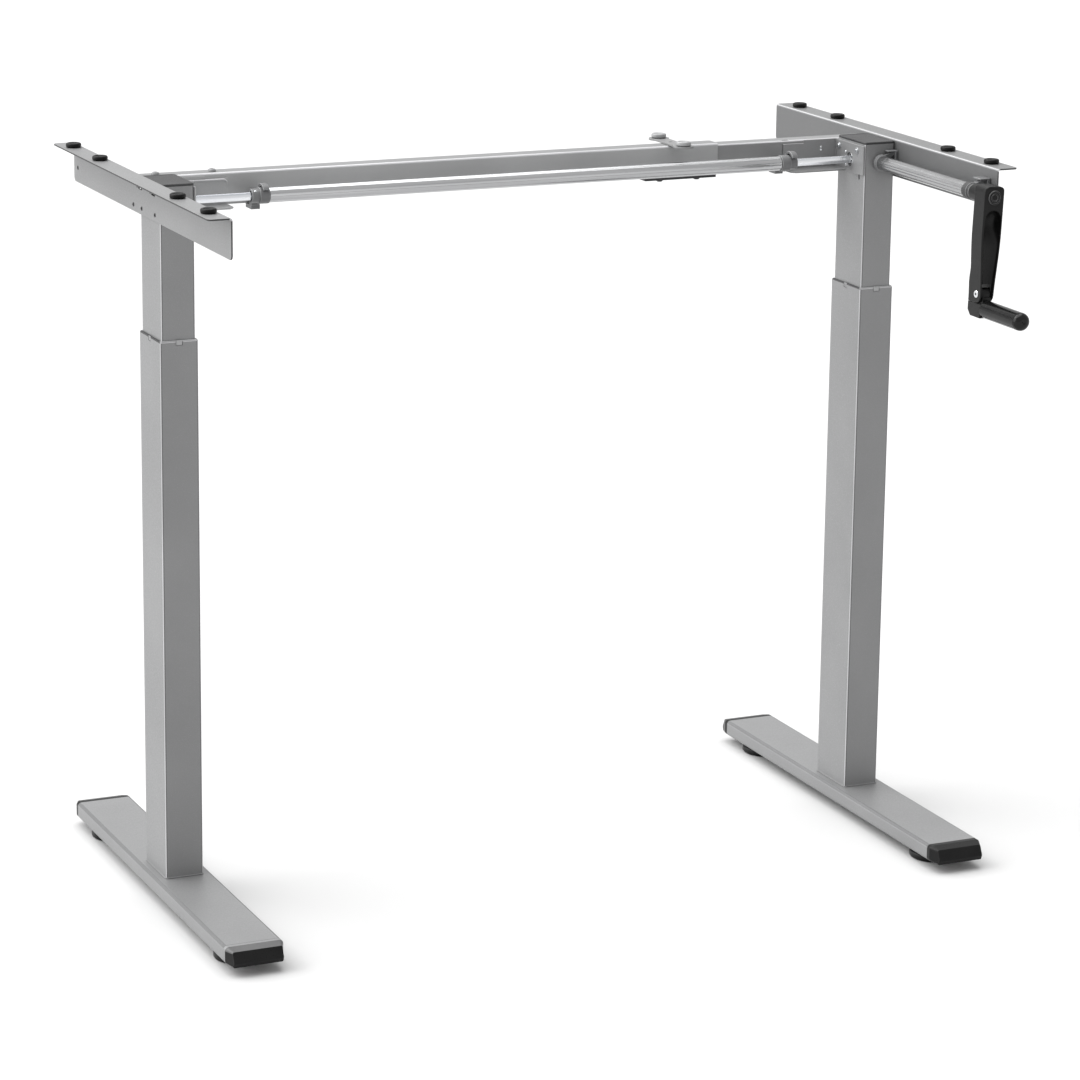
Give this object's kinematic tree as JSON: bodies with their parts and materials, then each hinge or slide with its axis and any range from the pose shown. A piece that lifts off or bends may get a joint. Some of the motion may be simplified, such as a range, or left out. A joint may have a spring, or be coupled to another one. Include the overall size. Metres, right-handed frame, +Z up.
{
  "type": "height adjustable desk frame",
  "caption": "Hand-crank sit/stand desk frame: T-feet with telescopic columns, telescopic crossbeam, drive shaft, side angles with rubber pads and a folding crank; no table top.",
  "frame": {"origin": "on the floor at the middle of the frame's bounding box", "axes": "+X along the crossbeam towards the crank, +Y towards the back, +Z up"},
  "size_m": [1.08, 0.74, 0.933],
  "materials": {
    "powder_coat": "fine-textured silver-grey powder coat",
    "zinc_rod": "bright zinc plate",
    "satin_aluminium": "satin anodised",
    "plain_steel": "oiled machined steel",
    "gear_brass": "greased",
    "black_plastic": "moulded, fine grain",
    "grey_plastic": "moulded",
    "pale_plastic": "moulded",
    "pad_rubber": "soft rubber"
  },
  "bodies": {
    "left_leg": {"left_foot": "powder_coat", "left_foot_cap_rear": "black_plastic", "left_foot_cap_front": "black_plastic", "left_outer_tube": "powder_coat", "left_glide_sleeve": "grey_plastic", "left_lift_nut": "plain_steel"},
    "left_frame": {"left_inner_tube": "powder_coat", "left_tube_cap": "grey_plastic", "left_side_angle": "powder_coat", "left_pad_1": "pad_rubber", "left_pad_2": "pad_rubber", "left_pad_3": "pad_rubber", "left_pad_4": "pad_rubber", "left_gear_housing": "plain_steel", "left_bracket": "powder_coat", "left_rod_clip": "grey_plastic", "outer_beam": "powder_coat", "clamp_strip": "black_plastic", "support_bar": "powder_coat", "support_pad_front": "pale_plastic", "support_pad_rear": "pale_plastic"},
    "right_frame": {"right_inner_tube": "powder_coat", "right_tube_cap": "grey_plastic", "right_side_angle": "powder_coat", "right_pad_1": "pad_rubber", "right_pad_2": "pad_rubber", "right_pad_3": "pad_rubber", "right_pad_4": "pad_rubber", "right_gear_housing": "plain_steel", "right_bracket": "powder_coat", "right_rod_clip": "grey_plastic", "inner_beam": "powder_coat", "crank_clip_rear": "grey_plastic", "crank_clip_front": "grey_plastic"},
    "right_leg": {"right_foot": "powder_coat", "right_foot_cap_rear": "black_plastic", "right_foot_cap_front": "black_plastic", "right_outer_tube": "powder_coat", "right_glide_sleeve": "grey_plastic", "right_lift_nut": "plain_steel"},
    "left_spindle": {"left_lead_screw": "plain_steel", "left_spindle_gear": "plain_steel"},
    "right_spindle": {"right_lead_screw": "plain_steel", "right_spindle_gear": "plain_steel"},
    "drive_shaft": {"left_hex_rod": "zinc_rod", "drive_tube": "satin_aluminium", "left_rod_pinion": "gear_brass"},
    "right_rod": {"right_hex_rod": "zinc_rod", "right_rod_pinion": "gear_brass"},
    "crank": {"crank_shaft": "zinc_rod", "crank_tube": "satin_aluminium", "crank_pinion": "gear_brass", "crank_arm": "black_plastic", "grip_pivot_pin": "zinc_rod"},
    "grip_knuckle": {"grip_knuckle": "black_plastic"},
    "crank_grip": {"crank_grip": "black_plastic"},
    "left_leveller_front": {"left_leveller_front": "black_plastic"},
    "left_leveller_rear": {"left_leveller_rear": "black_plastic"},
    "right_leveller_front": {"right_leveller_front": "black_plastic"},
    "right_leveller_rear": {"right_leveller_rear": "black_plastic"}
  },
  "joints": [
    {"name": "left_lift", "type": "slide", "parent": "left_leg", "child": "left_frame", "axis": [0, 0, 1], "range_m": [-0.126, 0.3]},
    {"name": "frame_width", "type": "slide", "parent": "left_frame", "child": "right_frame", "axis": [1, 0, 0], "range_m": [0, 0.4]},
    {"name": "right_lift", "type": "slide", "parent": "right_frame", "child": "right_leg", "axis": [0, 0, -1], "range_m": [-0.126, 0.3]},
    {"name": "left_spindle_turn", "type": "hinge", "parent": "left_frame", "child": "left_spindle", "pos_m": [-0.4875, 0.055, 0.897], "axis": [0, 0, 1], "range_deg": [-4536, 10800]},
    {"name": "drive_shaft_turn", "type": "hinge", "parent": "left_frame", "child": "drive_shaft", "pos_m": [0, 0.055, 0.897], "axis": [1, 0, 0], "range_deg": [-7560, 18000]},
    {"name": "right_spindle_turn", "type": "hinge", "parent": "right_frame", "child": "right_spindle", "pos_m": [0.4875, 0.055, 0.897], "axis": [0, 0, 1], "range_deg": [-10800, 4536]},
    {"name": "right_rod_turn", "type": "hinge", "parent": "right_frame", "child": "right_rod", "pos_m": [0.4875, 0.055, 0.897], "axis": [1, 0, 0], "range_deg": [-7560, 18000]},
    {"name": "crank_turn", "type": "hinge", "parent": "right_frame", "child": "crank", "pos_m": [0.4875, 0, 0.897], "axis": [0, 1, 0], "range_deg": [-7560, 18000]},
    {"name": "grip_fold", "type": "hinge", "parent": "crank", "child": "grip_knuckle", "pos_m": [0.48209, -0.268, 0.77312], "axis": [-0.999, 0, 0.0436], "range_deg": [0, 90]},
    {"name": "grip_spin", "type": "hinge", "parent": "grip_knuckle", "child": "crank_grip", "pos_m": [0.48131, -0.3, 0.75514], "axis": [0, 1, 0], "continuous": true},
    {"name": "left_leveller_front_screw", "type": "slide", "parent": "left_leg", "child": "left_leveller_front", "axis": [0, 0, 1], "range_m": [-0.01, 0]},
    {"name": "left_leveller_rear_screw", "type": "slide", "parent": "left_leg", "child": "left_leveller_rear", "axis": [0, 0, 1], "range_m": [-0.01, 0]},
    {"name": "right_leveller_front_screw", "type": "slide", "parent": "right_leg", "child": "right_leveller_front", "axis": [0, 0, 1], "range_m": [-0.01, 0]},
    {"name": "right_leveller_rear_screw", "type": "slide", "parent": "right_leg", "child": "right_leveller_rear", "axis": [0, 0, 1], "range_m": [-0.01, 0]}
  ],
  "couplings": [
    {"joint": "right_lift", "follows": "left_lift", "ratio": 1},
    {"joint": "crank_turn", "follows": "left_lift", "rad_per_m": 1047.2},
    {"joint": "right_rod_turn", "follows": "left_lift", "rad_per_m": 1047.2},
    {"joint": "drive_shaft_turn", "follows": "left_lift", "rad_per_m": 1047.2},
    {"joint": "left_spindle_turn", "follows": "left_lift", "rad_per_m": 628.32},
    {"joint": "right_spindle_turn", "follows": "left_lift", "rad_per_m": -628.32}
  ]
}
